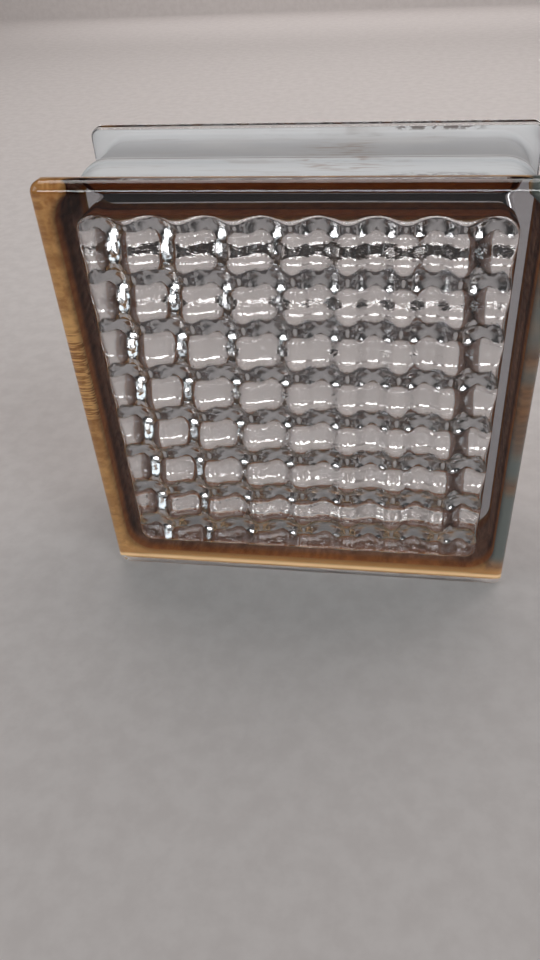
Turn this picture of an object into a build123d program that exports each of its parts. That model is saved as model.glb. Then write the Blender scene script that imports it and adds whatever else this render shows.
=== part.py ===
"""A hollow pressed-glass building block, standing on its edge.

The block is two pressed glass halves, fused rim to rim round a sealed air space.
Each half is a tray: a flat face with a rounded rim, a wall set back from the rim,
and waves both ways across the face's inner side, eight by eight.
The wall's outside, between the two rims, carries a thin brown tint coat and over it
a white coat that mortar keys to.

Lengths are millimetres. +X is right, +Y goes in through the front face, +Z is up.
The origin is on the floor, below the middle of the block.
"""

from build123d import *
import math
import os

# The whole block
BLOCK_WIDTH = 190.0
BLOCK_HEIGHT = 190.0
BLOCK_DEPTH = 80.0

# The rim round each face
RIM_THICKNESS = 8.0
RIM_CORNER_RADIUS = 4.5
RIM_NOSE_RADIUS = 4.0
RIM_HEEL_CHAMFER = 0.8

# The wall between the rims
WALL_SETBACK = 5.0
WALL_CORNER_RADIUS = 13.0
WALL_ROOT_CHAMFER = 2.2
WALL_THICKNESS = 8.5

# The bead where the two halves were fused
BEAD_HEIGHT = 1.0
BEAD_HALF_WIDTH = 2.2
BEAD_FOOT_CHAMFER = 1.1

# The face and the waves on its inner side
FACE_THINNEST = 3.8
CAVITY_CORNER_RADIUS = 8.0
CAVITY_FLOOR_FILLET = 7.0
WAVE_COUNT = 8
WAVE_PITCH = 20.9
WAVE_HEIGHT = 5.4
WAVE_FLAT_WIDTH = 3.5

# The two coats on the wall
TINT_THICKNESS = 0.15
COAT_THICKNESS = 0.4
COAT_EDGE_MARGIN = 0.1

HALF_DEPTH = BLOCK_DEPTH / 2
WALL_WIDTH = BLOCK_WIDTH - 2 * WALL_SETBACK
WALL_HEIGHT = BLOCK_HEIGHT - 2 * WALL_SETBACK
CAVITY_WIDTH = WALL_WIDTH - 2 * WALL_THICKNESS
CAVITY_HEIGHT = WALL_HEIGHT - 2 * WALL_THICKNESS

# A surface parallel to a 45 degree chamfer keeps this share of its offset as chamfer
CHAMFER_GROWTH = 2 - math.sqrt(2)

# A half is modelled face down: its face lies on the XY plane, and local +Z runs
# from the face towards the other half. These planes stand it up at the front and back.
FRONT = Plane(origin=(0, -HALF_DEPTH, BLOCK_HEIGHT / 2), x_dir=(-1, 0, 0), z_dir=(0, 1, 0))
BACK = Plane(origin=(0, HALF_DEPTH, BLOCK_HEIGHT / 2), x_dir=(1, 0, 0), z_dir=(0, -1, 0))


def slab(width, height, corner_radius, low, high, taper=0.0):
    """A rounded rectangle extruded from one local level to another."""
    outline = Pos(0, 0, low) * RectangleRounded(width, height, corner_radius)
    return extrude(outline, high - low, taper=taper)


def edges_at(solid, level):
    """The edges that lie wholly at one local level."""
    return solid.edges().filter_by_position(Axis.Z, level, level)


def wall_core(growth):
    """The half's wall, solid, with its bead and sloped root, all grown outwards."""
    width = WALL_WIDTH + 2 * growth
    height = WALL_HEIGHT + 2 * growth
    radius = WALL_CORNER_RADIUS + growth
    root = RIM_THICKNESS + growth
    cheek_inset = RIM_HEEL_CHAMFER + COAT_EDGE_MARGIN
    cheek = slab(
        BLOCK_WIDTH - 2 * cheek_inset,
        BLOCK_HEIGHT - 2 * cheek_inset,
        RIM_CORNER_RADIUS - cheek_inset,
        RIM_THICKNESS / 2,
        root,
    )
    wall = slab(width, height, radius, RIM_THICKNESS / 2, HALF_DEPTH)
    core = cheek + wall
    root_edges = [e for e in edges_at(core, root) if on_outline(e, width, height)]
    core = chamfer(root_edges, WALL_ROOT_CHAMFER - growth * CHAMFER_GROWTH)
    return core + bead(growth)


def on_outline(edge, width, height):
    """Whether an edge's middle is no further out than a rectangle of this size."""
    middle = edge.position_at(0.5)
    slack = 0.01
    return abs(middle.X) <= width / 2 + slack and abs(middle.Y) <= height / 2 + slack


def bead(growth):
    """The lip round a half's open end. Two of them meet as the fused bead."""
    width = WALL_WIDTH + 2 * (BEAD_HEIGHT + growth)
    height = WALL_HEIGHT + 2 * (BEAD_HEIGHT + growth)
    radius = WALL_CORNER_RADIUS + BEAD_HEIGHT + growth
    foot = HALF_DEPTH - BEAD_HALF_WIDTH - growth
    lip = slab(width, height, radius, foot, HALF_DEPTH)
    return chamfer(edges_at(lip, foot), BEAD_FOOT_CHAMFER + growth * CHAMFER_GROWTH)


def rim():
    """The flange round the face: rounded at the front, nearly square at the back."""
    flange = slab(BLOCK_WIDTH, BLOCK_HEIGHT, RIM_CORNER_RADIUS, 0, RIM_THICKNESS)
    flange = fillet(edges_at(flange, 0), RIM_NOSE_RADIUS)
    return chamfer(edges_at(flange, RIM_THICKNESS), RIM_HEEL_CHAMFER)


def half_outside():
    """A half's outer form, solid all through."""
    return rim() + wall_core(0.0)


def wave_line():
    """Points along the waves, as distance and height: a flat crest and a flat trough each."""
    points = []
    for k in range(WAVE_COUNT):
        middle = (k - (WAVE_COUNT - 1) / 2) * WAVE_PITCH
        crest = WAVE_FLAT_WIDTH / 2
        trough = (WAVE_PITCH - WAVE_FLAT_WIDTH) / 2
        points.append((middle - trough, 0.0))
        points.append((middle - crest, WAVE_HEIGHT))
        points.append((middle + crest, WAVE_HEIGHT))
        points.append((middle + trough, 0.0))
    reach = WAVE_COUNT * WAVE_PITCH / 2
    return [(-reach, 0.0)] + points + [(reach, 0.0)]


def wave_lattice():
    """Glass with waves both ways: the wave across the face, carried along the same wave up it."""
    line = wave_line()
    reach = line[-1][0]
    underside = -WAVE_HEIGHT - 1.0
    outline = [(x, 0, z) for x, z in line] + [(reach, 0, underside), (-reach, 0, underside)]
    section = Face(Wire.make_polygon(outline))
    strips = []
    for (y, z), (next_y, next_z) in zip(line, line[1:]):
        run = Vector(0, next_y - y, next_z - z)
        strips.append(Solid.extrude(Pos(0, y, FACE_THINNEST + z) * section, run))
    return strips[0].fuse(*strips[1:])


def cavity():
    """The air space of one half: a rounded hollow over the wavy floor."""
    outline = Pos(0, 0, FACE_THINNEST) * RectangleRounded(
        CAVITY_WIDTH, CAVITY_HEIGHT, CAVITY_CORNER_RADIUS
    )
    hollow = extrude(outline, HALF_DEPTH - FACE_THINNEST)
    hollow = fillet(edges_at(hollow, FACE_THINNEST), CAVITY_FLOOR_FILLET)
    return hollow - wave_lattice()


def glass_half():
    """One pressed half, face down."""
    return half_outside() - cavity()


def both_ends(half):
    """The same half at the front and, turned round, at the back, as one solid."""
    return FRONT * half + BACK * half


def coat(inner_growth, outer_growth):
    """A coat on the wall between the rims, from one distance off the glass to another."""
    half = wall_core(outer_growth) - half_outside()
    if inner_growth > 0:
        half = half - wall_core(inner_growth)
    return both_ends(half)


def main():
    os.makedirs("parts", exist_ok=True)
    pressed = glass_half()
    pieces = {
        "front_glass_half": FRONT * pressed,
        "back_glass_half": BACK * pressed,
        "brown_tint_coat": coat(0.0, TINT_THICKNESS),
        "white_edge_coat": coat(TINT_THICKNESS, TINT_THICKNESS + COAT_THICKNESS),
    }
    for name, piece in pieces.items():
        export_step(piece, f"parts/{name}.step")


main()
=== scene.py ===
"""The looks of a hollow pressed-glass block: clear glass, brown lacquer and a scuffed white coat.

Lengths are metres. The block stands on the floor, its front face towards -Y.
"""

import math

import bmesh
import bpy
from mathutils import Matrix, Vector


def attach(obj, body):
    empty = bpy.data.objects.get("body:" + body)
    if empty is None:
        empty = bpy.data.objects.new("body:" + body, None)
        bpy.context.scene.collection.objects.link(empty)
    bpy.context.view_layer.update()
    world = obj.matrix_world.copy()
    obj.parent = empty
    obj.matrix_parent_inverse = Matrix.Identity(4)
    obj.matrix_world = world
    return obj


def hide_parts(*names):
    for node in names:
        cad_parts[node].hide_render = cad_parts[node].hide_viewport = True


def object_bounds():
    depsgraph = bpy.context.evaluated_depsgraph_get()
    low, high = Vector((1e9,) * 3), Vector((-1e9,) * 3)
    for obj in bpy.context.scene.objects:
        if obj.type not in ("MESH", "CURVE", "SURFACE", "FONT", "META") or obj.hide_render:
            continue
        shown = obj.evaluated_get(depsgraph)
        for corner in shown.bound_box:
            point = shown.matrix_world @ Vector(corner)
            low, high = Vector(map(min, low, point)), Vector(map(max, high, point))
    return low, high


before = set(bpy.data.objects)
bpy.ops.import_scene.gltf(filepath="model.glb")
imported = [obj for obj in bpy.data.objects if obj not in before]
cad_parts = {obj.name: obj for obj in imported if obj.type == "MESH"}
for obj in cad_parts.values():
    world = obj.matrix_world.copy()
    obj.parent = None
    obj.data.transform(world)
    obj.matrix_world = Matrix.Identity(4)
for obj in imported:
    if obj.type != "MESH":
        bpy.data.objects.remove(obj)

CAD_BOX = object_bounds()
MM = 0.001

# The block, from the frame
LOW, HIGH = [Vector(corner) for corner in CAD_BOX]
WIDTH = HIGH.x - LOW.x
HEIGHT = HIGH.z - LOW.z
DEPTH = HIGH.y - LOW.y

# The rim round each face
RIM_THICKNESS = 8.0 * MM
RIM_CORNER_RADIUS = 4.5 * MM
RIM_LEAST_RADIUS = 0.5 * MM
RIM_NOSE_RADIUS = 4.0 * MM
RIM_HEEL_RADIUS = 0.8 * MM

# The wall between the rims
WALL_SETBACK = 5.0 * MM
WALL_CORNER_RADIUS = 13.0 * MM
WALL_ROOT_FILLET = 3.0 * MM
WALL_THICKNESS = 8.5 * MM

# The bead where the halves are fused
BEAD_HEIGHT = 1.0 * MM
BEAD_HALF_WIDTH = 2.2 * MM
BEAD_FOOT_RADIUS = 0.9 * MM
BEAD_EDGE_RADIUS = 0.3 * MM

# The face and the waves on its inner side
FACE_THICKNESS = 3.8 * MM
CAVITY_CORNER_RADIUS = 6.0 * MM
CAVITY_LEAST_RADIUS = 0.4 * MM
CAVITY_FLOOR_FILLET = 7.0 * MM
WAVE_COUNT = 8
WAVE_PITCH = 20.9 * MM
WAVE_HEIGHT = 5.4 * MM
WAVE_BLEND = 1.2 * MM

# The two coats on the wall
TINT_THICKNESS = 0.15 * MM
COAT_THICKNESS = 0.4 * MM
COAT_EDGE_MARGIN = 0.1 * MM
COAT_GAP = 0.02 * MM

# The lacquer's tones, each as its colour where it is thick and where it is thin, except the bottom's
# gold: its band of painted light and the painted highlight line along it
# Painted shade: the wall's lacquer, darkest by the seam
SHADED_SEAM_BROWN = (0.075, 0.024, 0.013, 1), (0.24, 0.080, 0.040, 1)
PALE_BROWN = (0.20, 0.085, 0.055, 1), (0.62, 0.30, 0.19, 1)
RIM_RED = (0.28, 0.078, 0.022, 1), (0.58, 0.19, 0.05, 1)
# Painted light along the top of the wall
LIT_TOP_RED = (0.32, 0.085, 0.03, 1), (0.66, 0.23, 0.07, 1)
# Painted light: the rims' back faces, lighter than the wall
LIT_CHEEK_AMBER = (0.27, 0.105, 0.030, 1), (0.64, 0.34, 0.125, 1)
# Painted shade on the rims' back faces at the right side
SHADED_CHEEK_UMBER = (0.09, 0.045, 0.03, 1), (0.30, 0.14, 0.07, 1)
# Painted light along the bottom: the gold band, then the painted highlight line along it
LIT_EDGE_GOLD = (0.52, 0.25, 0.09, 1), (1.0, 0.66, 0.36, 1)
# A painted reflection of the grey surroundings
REFLECTED_GREY = (0.15, 0.16, 0.15, 1)
# Dark grey for the top right corner of the rims' back faces
CORNER_GREY = (0.11, 0.12, 0.11, 1)

# The white coat's tones
FRONT_WHITE = (0.42, 0.42, 0.43, 1)
# Painted shade: the back half's wall, darker than the front's
SHADED_BACK_WHITE = (0.34, 0.335, 0.345, 1)
# Painted light: the rims' back faces, lighter than the wall
LIT_CHEEK_WHITE = (0.55, 0.54, 0.545, 1)
SMUDGE_GREY = (0.44, 0.42, 0.41, 1)
STREAK_GREY = (0.32, 0.29, 0.28, 1)
SCRATCH_BROWN = (0.20, 0.13, 0.09, 1)
CHIP_BROWN = (0.07, 0.045, 0.035, 1)
# Painted shade along the seam
SEAM_SHADE_GREY = (0.14, 0.11, 0.10, 1)

# The studio
FLOOR_REACH = 4.0
BACKDROP_DISTANCE = 1.7
BACKDROP_HEIGHT = 0.56
DAYLIGHT = (0.88, 0.97, 1.0)
WARM_LIGHT = (1.0, 0.98, 0.96)

# How finely curves and waves are cut
CORNER_STEPS = 12
NOSE_STEPS = 8
HEEL_STEPS = 4
ROOT_STEPS = 6
BEAD_FOOT_STEPS = 5
BEAD_EDGE_STEPS = 4
FLOOR_FILLET_STEPS = 10
GRID_STEPS = 17 * WAVE_COUNT
WELD_DISTANCE = 0.002 * MM

# How close to its border the waves' grid starts to bend round the corners: closer when higher
BORDER_PULL = 12

HALF_DEPTH = DEPTH / 2
CAVITY_WIDTH = WIDTH - 2 * (WALL_SETBACK + WALL_THICKNESS)
CAVITY_HEIGHT = HEIGHT - 2 * (WALL_SETBACK + WALL_THICKNESS)
PATTERN_WIDTH = CAVITY_WIDTH - 2 * CAVITY_FLOOR_FILLET
PATTERN_HEIGHT = CAVITY_HEIGHT - 2 * CAVITY_FLOOR_FILLET

# A half is modelled face down: its face lies on the XY plane, and +Z runs towards the
# other half. These stand it up at the front and at the back.
FRONT = Matrix(((-1, 0, 0, 0), (0, 0, 1, -HALF_DEPTH), (0, 1, 0, HEIGHT / 2), (0, 0, 0, 1)))
BACK = Matrix(((1, 0, 0, 0), (0, 0, -1, HALF_DEPTH), (0, 1, 0, HEIGHT / 2), (0, 0, 0, 1)))


class Value:
    """A shader socket that can be reckoned with. Each operator adds a Math node."""

    def __init__(self, paint, socket):
        self.paint = paint
        self.socket = socket

    def math(self, operation, *others, clamp=False):
        settings = {"operation": operation, "use_clamp": clamp}
        return self.paint.add("ShaderNodeMath", settings, dict(enumerate((self,) + others)))

    def __add__(self, other):
        return self.math("ADD", other)

    __radd__ = __add__

    def __sub__(self, other):
        return self.math("SUBTRACT", other)

    def __rsub__(self, other):
        return (self * -1.0) + other

    def __mul__(self, other):
        return self.math("MULTIPLY", other)

    __rmul__ = __mul__

    def abs(self):
        return self.math("ABSOLUTE")

    def clamp(self):
        return self.math("ADD", 0.0, clamp=True)

    def between(self, low, high):
        """0 at low and below, 1 at high and above, smooth between."""
        settings = {"interpolation_type": "SMOOTHSTEP"}
        values = {"Value": self, "From Min": low, "From Max": high}
        return self.paint.add("ShaderNodeMapRange", settings, values)

    def past(self, level, soft):
        """1 past a level and 0 short of it, fading over a soft edge on both sides of it."""
        return self.between(level - soft, level + soft)

    def within(self, low, high, soft):
        """1 between two levels and 0 outside them, with soft edges."""
        return self.past(low, soft) * (1 - self.past(high, soft))


class Paint:
    """A new material, and one method that adds any node to it."""

    def __init__(self, name):
        self.material = bpy.data.materials.new(name)
        self.material.use_nodes = True
        self.tree = self.material.node_tree
        self.tree.nodes.clear()

    def add(self, kind, settings=None, values=None, output=0):
        node = self.tree.nodes.new(kind)
        for name, setting in (settings or {}).items():
            setattr(node, name, setting)
        for name, value in (values or {}).items():
            if isinstance(value, Value):
                self.tree.links.new(value.socket, node.inputs[name])
            else:
                node.inputs[name].default_value = value
        return Value(self, node.outputs[output])

    def place(self):
        """The place on the object, in metres."""
        return self.add("ShaderNodeTexCoord", output="Object")

    def axes(self):
        """The X, Y and Z of the place on the object."""
        split = self.add("ShaderNodeSeparateXYZ", values={"Vector": self.place()})
        outputs = split.socket.node.outputs
        return [Value(self, outputs[axis]) for axis in ("X", "Y", "Z")]

    def stretched(self, x, y, z):
        """The place on the object, scaled along each axis."""
        return self.add("ShaderNodeMapping", values={"Vector": self.place(), "Scale": (x, y, z)})

    def noise(self, vector, scale, detail, roughness):
        values = {"Vector": vector, "Scale": scale, "Detail": detail, "Roughness": roughness}
        return self.add("ShaderNodeTexNoise", values=values)

    def blend(self, mask, under, over):
        """One colour over another, by a mask."""
        settings = {"data_type": "RGBA"}
        return self.add("ShaderNodeMix", settings, {0: mask, 6: under, 7: over}, output=2)

    def finish(self, shader, volume=None):
        output = self.tree.nodes.new("ShaderNodeOutputMaterial")
        self.tree.links.new(shader.socket, output.inputs["Surface"])
        if volume is not None:
            self.tree.links.new(volume.socket, output.inputs["Volume"])
        return self.material


def pressed_ripple(paint):
    """The faint unevenness of the pressed glass, on the inner sides of the two faces only."""
    x, y, z = paint.axes()
    at_side_wall = x.abs().past(CAVITY_WIDTH / 2 - 1.0 * MM, 0.5 * MM)
    at_top_or_bottom = (z - HEIGHT / 2).abs().past(CAVITY_HEIGHT / 2 - 1.0 * MM, 0.5 * MM)
    near_face = y.abs().within(24 * MM, HALF_DEPTH - 2 * MM, 0.5 * MM)
    ripple = paint.noise(paint.stretched(0.5, 0.6, 1.0), scale=480.0, detail=3.0, roughness=0.55)
    height = ripple * ((1 - at_side_wall) * near_face * (1 - at_top_or_bottom))
    return paint.add("ShaderNodeBump", values={"Strength": 0.6, "Distance": 0.25 * MM, "Height": height})


def clear_glass():
    """Clear pressed glass, faintly grey in its depth. Lamps shine through it, as the sun does."""
    paint = Paint("clear_glass")
    glass = paint.add(
        "ShaderNodeBsdfPrincipled",
        values={
            "Base Color": (0.98, 0.97, 0.965, 1),
            "Roughness": 0.0,
            "IOR": 1.52,
            "Transmission Weight": 1.0,
            "Normal": pressed_ripple(paint),
        },
    )
    lamp_lit = paint.add("ShaderNodeBsdfTransparent", values={"Color": (0.50, 0.54, 0.53, 1)})
    lamp_ray = paint.add("ShaderNodeLightPath", output="Is Shadow Ray")
    surface = paint.add("ShaderNodeMixShader", values={0: lamp_ray, 1: glass, 2: lamp_lit})
    depth_tint = {"Color": (0.80, 0.805, 0.82, 1), "Density": 55.0}
    return paint.finish(surface, paint.add("ShaderNodeVolumeAbsorption", values=depth_tint))


def lacquer_on_wall(paint, y, z, thinness, glow_along_top):
    """The lacquer on the wall: painted shade by the seam, redder by the rims, painted light low down and
    along the top, paler far back.
    """
    # Painted light: the bottom wall's lacquer is made pale
    lit_low_wall = 1 - z.past(11 * MM, 2 * MM)
    far_half = y.past(-8 * MM, 5 * MM) * (1 - z.past(HEIGHT - 21 * MM, 3 * MM))
    pale_places = (lit_low_wall + far_half * 0.8).clamp()
    by_seam = paint.blend(thinness, *SHADED_SEAM_BROWN)
    by_seam = paint.blend(pale_places, by_seam, paint.blend(thinness, *PALE_BROWN))
    wall = paint.blend(y.abs().past(18.5 * MM, 4.5 * MM), by_seam, paint.blend(thinness, *RIM_RED))
    # Painted light along the top of the wall
    return paint.blend(glow_along_top, wall, paint.blend(thinness, *LIT_TOP_RED))


def lacquer_behind_rims(paint, x, z, thinness, patches):
    """The lacquer on the rims' back faces: painted light in amber, gold along the bottom with a painted
    highlight line, painted shade and a painted grey reflection on the right, dark grey at the top right
    corner.
    """
    ripples = paint.noise(paint.stretched(0.12, 0.12, 1.0), scale=1500.0, detail=1.0, roughness=0.5)
    rippled = z.within(86 * MM, 128 * MM, 4 * MM) * (1 - x.past(-WIDTH / 2 + 6 * MM, 2 * MM))
    thinness = (thinness + rippled * (ripples.between(0.40, 0.60) - 0.5) * 1.3).clamp()
    # Painted shade along the right side
    shaded_right_side = x.past(WIDTH / 2 - 8 * MM, 1 * MM)
    cheek = paint.blend(thinness, *LIT_CHEEK_AMBER)
    cheek = paint.blend(shaded_right_side * 0.8, cheek, paint.blend(thinness, *SHADED_CHEEK_UMBER))
    # Painted light along the bottom, with a painted highlight line across its middle
    gold = paint.blend(z.within(1.7 * MM, 3.6 * MM, 0.7 * MM), *LIT_EDGE_GOLD)
    cheek = paint.blend(1 - z.past(7 * MM, 2 * MM), cheek, gold)
    # A painted reflection of the grey surroundings, in patches by the right edge
    grey_reflection = x.past(WIDTH / 2 - 6.5 * MM, 0.5 * MM) * patches.between(0.35, 0.5)
    grey_reflection = grey_reflection * (1 - z.past(HEIGHT - 40 * MM, 10 * MM)) * z.past(12 * MM, 4 * MM)
    cheek = paint.blend(grey_reflection, cheek, REFLECTED_GREY)
    # Dark grey at the top right corner
    grey_corner = x.past(WIDTH / 2 - 12.5 * MM, 1.5 * MM) * z.past(HEIGHT - 15 * MM, 2 * MM)
    return paint.blend(grey_corner, cheek, CORNER_GREY)


def brown_lacquer():
    """Brown lacquer brushed on the glass and seen from the glass side, lighter where it is thin, with
    painted light and shade and a painted glow along the top.
    """
    paint = Paint("brown_lacquer")
    x, y, z = paint.axes()
    strokes = paint.noise(paint.stretched(1.0, 0.25, 1.0), scale=300.0, detail=3.0, roughness=0.6)
    patches = paint.noise(paint.place(), scale=24.0, detail=2.0, roughness=0.5)
    thinness = (strokes.between(0.3, 0.7) * 0.6 + patches.between(0.3, 0.7) * 0.4).clamp()
    # Where the top of the wall gets painted light and a painted glow
    glow_along_top = z.past(HEIGHT - 8 * MM, 1 * MM) * (1 - y.abs().past(15 * MM, 2 * MM))
    wall = lacquer_on_wall(paint, y, z, thinness, glow_along_top)
    cheek = lacquer_behind_rims(paint, x, z, thinness, patches)
    # Painted light: the rims' back faces are given lighter tones than the wall
    behind_rim = y.abs().past(HALF_DEPTH - RIM_THICKNESS - 4.75 * MM, 1.25 * MM)
    shader = paint.add(
        "ShaderNodeBsdfPrincipled",
        values={
            "Base Color": paint.blend(behind_rim, wall, cheek),
            "Roughness": 0.5,
            "Specular IOR Level": 0.0,
            # A painted glow along the top of the wall
            "Emission Color": paint.blend(glow_along_top, (0.0, 0.0, 0.0, 1), (0.035, 0.010, 0.004, 1)),
            "Emission Strength": 1.0,
        },
    )
    return paint.finish(shader)


def white_coat_paint():
    """Matt white, brushed along the wall and scuffed at the rims, with painted shade on the back half and
    along the seam, and painted light on the rims' back faces.
    """
    paint = Paint("white_coat")
    x, y, z = paint.axes()
    streaks = paint.noise(paint.stretched(0.12, 1.0, 0.12), scale=420.0, detail=3.0, roughness=0.6)
    smudges = paint.noise(paint.stretched(0.35, 1.0, 0.35), scale=60.0, detail=2.0, roughness=0.5)
    scratches = paint.noise(paint.stretched(0.10, 1.0, 1.0), scale=700.0, detail=2.0, roughness=0.7)
    chips = paint.noise(paint.stretched(0.5, 1.0, 1.0), scale=520.0, detail=3.0, roughness=0.7)
    scratched = x.within(2 * MM, 30 * MM, 8 * MM) * y.within(-12 * MM, 24 * MM, 6 * MM)
    edge_knocks = x.within(35 * MM, 70 * MM, 4 * MM) * z.past(HEIGHT - 2.1 * MM, 0.5 * MM)
    front_knocks = x.within(38 * MM, 68 * MM, 12 * MM) * y.within(-20 * MM, -16 * MM, 2.5 * MM)
    on_top = z.past(HEIGHT - 35 * MM, 5 * MM)
    chipped = (edge_knocks + front_knocks).clamp() * chips.between(0.46, 0.54) * on_top
    # Painted shade along the seam
    seam_shade = y.within(-0.3 * MM, 0.5 * MM, 0.25 * MM)
    # Painted shade: the back half darker than the front
    wall = paint.blend(y.past(1 * MM, 2 * MM), FRONT_WHITE, SHADED_BACK_WHITE)
    # Painted light on the rims' back faces
    colour = paint.blend(y.abs().past(28.5 * MM, 2.5 * MM), wall, LIT_CHEEK_WHITE)
    marks = (
        (smudges.between(0.42, 0.75) * 0.40, SMUDGE_GREY),
        (streaks.between(0.54, 0.70) * 0.45, STREAK_GREY),
        (scratched * scratches.between(0.50, 0.62) * 0.75, SCRATCH_BROWN),
        (chipped * 0.85, CHIP_BROWN),
        (seam_shade * 0.7, SEAM_SHADE_GREY),
    )
    for mask, tone in marks:
        colour = paint.blend(mask, colour, tone)
    shader = paint.add("ShaderNodeBsdfPrincipled", values={"Base Color": colour, "Roughness": 0.45})
    return paint.finish(shader)


def floor_paint():
    """A pale, faintly speckled matt floor."""
    paint = Paint("pale_floor")
    speck = paint.noise(paint.place(), scale=90.0, detail=3.0, roughness=0.6)
    colour = paint.blend(speck.between(0.3, 0.7), (0.78, 0.695, 0.67, 1), (0.84, 0.755, 0.73, 1))
    shader = paint.add("ShaderNodeBsdfPrincipled", values={"Base Color": colour, "Roughness": 0.7})
    return paint.finish(shader)


def arc(centre_inset, centre_depth, radius, start, end, steps):
    """Stations of a profile along an arc, by angle in degrees from the inward direction."""
    angles = [math.radians(start + (end - start) * k / steps) for k in range(steps + 1)]
    return [(centre_inset + radius * math.cos(a), centre_depth + radius * math.sin(a)) for a in angles]


def ring_places(inset, depth, radius):
    """The places of a ring's vertices at one station: a rounded rectangle, anticlockwise from +X."""
    half_width = WIDTH / 2 - inset
    half_height = HEIGHT / 2 - inset
    places = []
    for corner, (sign_x, sign_y) in enumerate(((1, 1), (-1, 1), (-1, -1), (1, -1))):
        for step in range(CORNER_STEPS + 1):
            angle = math.radians(90 * (corner + step / CORNER_STEPS))
            x = sign_x * (half_width - radius) + radius * math.cos(angle)
            y = sign_y * (half_height - radius) + radius * math.sin(angle)
            places.append(Vector((x, y, depth)))
    return places


def grow_ring(bm, ring, places):
    """Extrudes an open ring of vertices to new places and gives back the new ring."""
    edges = [bm.edges.get((ring[k - 1], ring[k])) for k in range(len(ring))]
    made = bmesh.ops.extrude_edge_only(bm, edges=edges)["geom"]
    fresh = {item for item in made if isinstance(item, bmesh.types.BMVert)}
    after = []
    for vertex, place in zip(ring, places):
        new = next(e.other_vert(vertex) for e in vertex.link_edges if e.other_vert(vertex) in fresh)
        new.co = place
        after.append(new)
    return after


def rim_radius(inset):
    """The rim's corner radius, that far in from the outside."""
    return max(RIM_CORNER_RADIUS - inset, RIM_LEAST_RADIUS)


def wall_radius(inset):
    """The wall's corner radius, that far in from the outside."""
    return WALL_CORNER_RADIUS + WALL_SETBACK - inset


def cavity_radius(inset):
    """The air space's corner radius, that far in from its wall."""
    return max(CAVITY_CORNER_RADIUS - inset, CAVITY_LEAST_RADIUS)


def rim_stations():
    """The half's profile over the rim: the face's edge, the nose, the land and the heel."""
    face_edge = RIM_NOSE_RADIUS + 0.8 * MM
    nose = arc(RIM_NOSE_RADIUS, RIM_NOSE_RADIUS, RIM_NOSE_RADIUS, 270, 180, NOSE_STEPS)
    heel_depth = RIM_THICKNESS - RIM_HEEL_RADIUS
    heel = arc(RIM_HEEL_RADIUS, heel_depth, RIM_HEEL_RADIUS, 180, 90, HEEL_STEPS)
    path = [(face_edge, 0.0)] + nose + heel
    return [(inset, depth, rim_radius(inset)) for inset, depth in path]


def wall_stations(growth=0.0):
    """The half's profile over the wall, grown outwards: the root fillet, the wall and half the bead."""
    fillet = WALL_ROOT_FILLET - growth
    face = WALL_SETBACK - growth
    root = RIM_THICKNESS + growth
    bead_face = face - BEAD_HEIGHT
    foot = HALF_DEPTH - BEAD_HALF_WIDTH - growth
    before_foot = foot - 0.1 * MM
    foot_centre = (bead_face + BEAD_FOOT_RADIUS, foot + BEAD_FOOT_RADIUS)
    edge_centre = (bead_face + BEAD_EDGE_RADIUS, HALF_DEPTH - BEAD_EDGE_RADIUS)
    path = arc(face - fillet, root + fillet, fillet, 270, 360, ROOT_STEPS)
    path += [(face, before_foot)]
    path += arc(*foot_centre, BEAD_FOOT_RADIUS, 260, 180, BEAD_FOOT_STEPS)
    path += arc(*edge_centre, BEAD_EDGE_RADIUS, 180, 110, BEAD_EDGE_STEPS)
    path += [(edge_centre[0], HALF_DEPTH)]
    heel = RIM_HEEL_RADIUS + COAT_EDGE_MARGIN
    stations = [(inset, depth, wall_radius(inset)) for inset, depth in path]
    return [(heel, root, rim_radius(heel))] + stations


def start_ring(bm, station):
    """A closed ring of vertices at the first station of a profile."""
    count = 4 * (CORNER_STEPS + 1)
    bmesh.ops.create_circle(bm, segments=count, radius=1.0)
    bm.verts.ensure_lookup_table()
    ring = sorted(bm.verts, key=lambda v: math.atan2(v.co.y, v.co.x) % math.tau)
    for vertex, place in zip(ring, ring_places(*station)):
        vertex.co = place
    return ring


def half_shell(stations, filled=False, lacquer_from=math.inf):
    """One half's surface swept round the block. Faces from station lacquer_from on take slot 1."""
    bm = bmesh.new()
    ring = start_ring(bm, stations[0])
    if filled:
        bmesh.ops.contextual_create(bm, geom=bm.edges[:])
    for number, station in enumerate(stations[1:], 1):
        before = set(bm.faces)
        ring = grow_ring(bm, ring, ring_places(*station))
        for face in bm.faces:
            if face not in before:
                face.material_index = 1 if number >= lacquer_from else 0
    return bm


def joined(bm, other, matrix):
    """Adds another bmesh's faces to bm, placed by a matrix."""
    mesh = bpy.data.meshes.new("scrap")
    other.to_mesh(mesh)
    mesh.transform(matrix)
    bm.from_mesh(mesh)
    bpy.data.meshes.remove(mesh)


def both_halves(half):
    """The half at the front and, turned round, at the back, welded at the seam."""
    bm = bmesh.new()
    joined(bm, half, FRONT)
    joined(bm, half, BACK)
    bmesh.ops.remove_doubles(bm, verts=bm.verts, dist=WELD_DISTANCE)
    bmesh.ops.recalc_face_normals(bm, faces=bm.faces)
    return bm


def wave(distance):
    """One wave across the face: 0 in its valleys, 1 on its crests, with a valley in the middle."""
    return (1 - math.cos(math.tau * distance / WAVE_PITCH)) / 2


def pattern_height(place):
    """How far the face's inner side stands above its lowest places: waves both ways, added up."""
    return WAVE_HEIGHT * (wave(place.x) + wave(place.y))


def soft_most(a, b):
    """The larger of two heights, blended where they are nearly equal."""
    blend = max(WAVE_BLEND - abs(a - b), 0.0) / WAVE_BLEND
    return max(a, b) + blend * blend * WAVE_BLEND / 4


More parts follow.
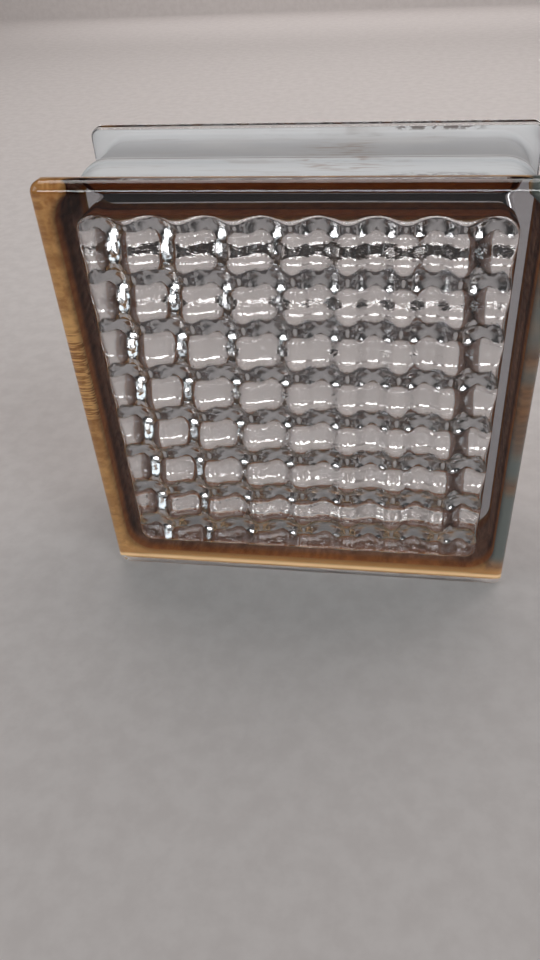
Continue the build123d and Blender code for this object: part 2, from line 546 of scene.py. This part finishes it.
def rounded_place(half_width, half_height, radius, share):
    """The place on a rounded rectangle at a share of the way round, from the +X side's lower corner."""
    side, along = divmod(share * 4, 1.0)
    across, up = (half_width, half_height) if side % 2 == 0 else (half_height, half_width)
    run = up - radius
    bend = radius * math.pi / 4
    from_middle = (along - 0.5) * 2 * (run + bend)
    if abs(from_middle) <= run:
        local = Vector((across, from_middle))
    else:
        angle = (abs(from_middle) - run) / radius
        x = across - radius + radius * math.cos(angle)
        y = run + radius * math.sin(angle)
        local = Vector((x, math.copysign(y, from_middle)))
    return Matrix.Rotation(math.radians(90) * side, 2) @ local


def fitted_to_corners(u, v):
    """A place of the square from -1 to 1, laid out so that the square's border is the rounded floor's."""
    reach = max(abs(u), abs(v))
    if reach == 0:
        return Vector((0.0, 0.0))
    plain = Vector((u * PATTERN_WIDTH / 2, v * PATTERN_HEIGHT / 2))
    if abs(u) >= abs(v):
        side, along = (0, v / reach) if u > 0 else (2, -v / reach)
    else:
        side, along = (1, -u / reach) if v > 0 else (3, u / reach)
    share = (side + (along + 1) / 2) / 4 % 1.0
    radius = cavity_radius(CAVITY_FLOOR_FILLET)
    border = rounded_place(PATTERN_WIDTH / 2, PATTERN_HEIGHT / 2, radius, share)
    return plain + (border * reach - plain) * reach ** BORDER_PULL


def border_in_order(bm):
    """The border of an open sheet, in order round it, starting at its +X, -Y corner."""
    edges = [e for e in bm.edges if e.is_boundary]
    border = {v: [e for e in v.link_edges if e.is_boundary] for e in edges for v in e.verts}
    start = max(border, key=lambda v: v.co.x - v.co.y)
    nearby = [e.other_vert(start) for e in border[start]]
    ring = [start, max(nearby, key=lambda v: v.co.x + v.co.y)]
    while True:
        here, last = ring[-1], ring[-2]
        onward = next(e.other_vert(here) for e in border[here] if e.other_vert(here) is not last)
        if onward is start:
            return ring
        ring.append(onward)


def cavity_half():
    """The air space of one half: the wavy floor, its fillet and the wall up to the seam."""
    bm = bmesh.new()
    bmesh.ops.create_grid(bm, x_segments=GRID_STEPS, y_segments=GRID_STEPS, size=1.0)
    for vertex in bm.verts:
        spot = fitted_to_corners(vertex.co.x, vertex.co.y)
        rise = soft_most(pattern_height(spot), 0.0)
        vertex.co = Vector((spot.x, spot.y, FACE_THICKNESS + rise))
    ring = border_in_order(bm)
    shares = [k / len(ring) for k in range(len(ring))]
    fillet = arc(
        CAVITY_FLOOR_FILLET, CAVITY_FLOOR_FILLET, CAVITY_FLOOR_FILLET, 270, 180, FLOOR_FILLET_STEPS
    )
    for inset, rise in fillet[1:]:
        spots = cavity_spots(inset, shares)
        rises = [soft_most(pattern_height(spot), rise) for spot in spots]
        places = [Vector((spot.x, spot.y, FACE_THICKNESS + rise)) for spot, rise in zip(spots, rises)]
        ring = grow_ring(bm, ring, places)
    for depth in (FACE_THICKNESS + 2 * WAVE_HEIGHT + CAVITY_FLOOR_FILLET, HALF_DEPTH):
        places = [Vector((spot.x, spot.y, depth)) for spot in cavity_spots(0.0, shares)]
        ring = grow_ring(bm, ring, places)
    return bm


def cavity_spots(inset, shares):
    """Places round the air space, that far in from its wall, at shares of the way round."""
    size = (CAVITY_WIDTH / 2 - inset, CAVITY_HEIGHT / 2 - inset, cavity_radius(inset))
    return [rounded_place(*size, share) for share in shares]


def piece_from(bm, name, materials):
    """A smooth-shaded object at the origin, made from a bmesh."""
    mesh = bpy.data.meshes.new(name)
    bm.to_mesh(mesh)
    mesh.shade_smooth()
    for material in materials:
        mesh.materials.append(material)
    piece = bpy.data.objects.new(name, mesh)
    bpy.context.scene.collection.objects.link(piece)
    return piece


def glass_body():
    """Both halves as one fused glass body: the outside, and the air space turned inside out."""
    rim = rim_stations()
    body = both_halves(half_shell(rim + wall_stations(), filled=True, lacquer_from=len(rim) + 1))
    cavity = both_halves(cavity_half())
    bmesh.ops.reverse_faces(cavity, faces=cavity.faces)
    joined(body, cavity, Matrix.Identity(4))
    piece = piece_from(body, "glass_body", [clear_glass(), brown_lacquer()])
    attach(piece, "root")
    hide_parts("front_glass_half", "back_glass_half", "brown_tint_coat")
    return piece


def white_coat():
    """The white coat on the wall and on the rims' back faces."""
    coat = both_halves(half_shell(wall_stations(TINT_THICKNESS + COAT_THICKNESS)))
    inner = both_halves(half_shell(wall_stations(COAT_GAP)))
    joined(coat, inner, Matrix.Identity(4))
    for side in (-1, 1):
        ends = [e for e in coat.edges if e.is_boundary and e.verts[0].co.y * side > 0]
        bmesh.ops.bridge_loops(coat, edges=ends)
    bmesh.ops.recalc_face_normals(coat, faces=coat.faces)
    piece = piece_from(coat, "white_coat", [white_coat_paint()])
    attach(piece, "root")
    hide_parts("white_edge_coat")
    return piece


def floor():
    """A plain floor that turns up into a low backdrop behind the block."""
    bm = bmesh.new()
    bmesh.ops.create_grid(bm, x_segments=1, y_segments=1, size=FLOOR_REACH)
    for vertex in bm.verts:
        vertex.co.y = min(vertex.co.y, BACKDROP_DISTANCE)
    back = [e for e in bm.edges if all(v.co.y > 0 for v in e.verts)]
    raised = bmesh.ops.extrude_edge_only(bm, edges=back)["geom"]
    for vertex in [item for item in raised if isinstance(item, bmesh.types.BMVert)]:
        vertex.co.z = BACKDROP_HEIGHT
    bmesh.ops.recalc_face_normals(bm, faces=bm.faces)
    piece = piece_from(bm, "floor", [floor_paint()])


def area_light(name, place, target, size, power, colour=(1, 1, 1), only_on=None):
    """A rectangular lamp turned to a target. It can be kept to the pieces of one collection."""
    light = bpy.data.lights.new(name, "AREA")
    light.shape = "RECTANGLE"
    light.size, light.size_y = size
    light.energy = power
    light.color = colour
    lamp = bpy.data.objects.new(name, light)
    lamp.location = place
    lamp.rotation_euler = (Vector(target) - Vector(place)).to_track_quat("-Z", "Y").to_euler()
    bpy.context.scene.collection.objects.link(lamp)
    if only_on is not None:
        lamp.light_linking.receiver_collection = only_on


def studio(pieces):
    """Soft lamps round the block, a long low one that lights the block only, and a dim grey sky."""
    block = bpy.data.collections.new("block")
    for piece in pieces:
        block.objects.link(piece)
    world = bpy.data.worlds.new("studio")
    world.use_nodes = True
    sky = world.node_tree.nodes["Background"]
    sky.inputs["Color"].default_value = (0.52, 0.54, 0.56, 1)
    sky.inputs["Strength"].default_value = 0.045
    bpy.context.scene.world = world
    middle = (0, 0, HEIGHT / 2)
    area_light("key", (0.9, -0.7, 1.2), middle, size=(0.7, 0.7), power=4.5, colour=DAYLIGHT)
    area_light("fill", (-1.2, -0.5, 0.8), middle, size=(0.8, 0.8), power=3.5, colour=DAYLIGHT)
    area_light("strip", (0.0, -1.30, 0.60), middle, size=(1.8, 0.30), power=14, only_on=block)
    area_light("top", (0.1, 0.8, 1.5), middle, size=(2.2, 1.4), power=24, colour=WARM_LIGHT)
    area_light("horizon", (0.0, 1.66, 0.31), (0, 0, 0.1), size=(1.6, 0.06), power=2.4)


def camera():
    """The photograph's viewpoint, fitted to the outline of the block."""
    picture_width, picture_height = 540, 960
    sight_line_x, sight_line_y = 288.6, 491.4
    focal_pixels = 785.3
    tilt, turn, roll = (math.radians(a) for a in (39.6, 7.59, 2.82))
    from_front_face = Vector((41.8, -272.3, 278.2)) * MM
    place = from_front_face + Vector((0, -HALF_DEPTH, 0))
    # From the room's axes to a level picture's: right, down and into the picture
    level = Matrix(((1, 0, 0), (0, 0, -1), (0, 1, 0)))
    tilted = Matrix.Rotation(turn, 3, "Y") @ Matrix.Rotation(tilt, 3, "X") @ level
    view = Matrix.Rotation(roll, 3, "Z") @ tilted
    # From the picture's axes to the camera's own: right, up and out of the picture
    flip = Matrix(((1, 0, 0), (0, -1, 0), (0, 0, -1)))
    lens = bpy.data.cameras.new("camera")
    lens.sensor_width = 36.0
    lens.lens = lens.sensor_width * focal_pixels / picture_height
    lens.clip_start = 0.01
    lens.shift_x = (picture_width / 2 - sight_line_x) / picture_height
    lens.shift_y = (sight_line_y - picture_height / 2) / picture_height
    eye = bpy.data.objects.new("camera", lens)
    eye.matrix_world = Matrix.Translation(place) @ (flip @ view).transposed().to_4x4()
    bpy.context.scene.collection.objects.link(eye)
    bpy.context.scene.camera = eye


def light_paths():
    """Enough bounces for light to cross both faces and the walls, and colours shown plainly."""
    scene = bpy.context.scene
    scene.cycles.max_bounces = 24
    scene.cycles.transmission_bounces = 24
    scene.cycles.glossy_bounces = 8
    scene.cycles.transparent_max_bounces = 24
    scene.cycles.use_denoising = True
    scene.view_settings.view_transform = "Standard"


block_pieces = [glass_body(), white_coat()]
floor()
studio(block_pieces)
camera()
light_paths()
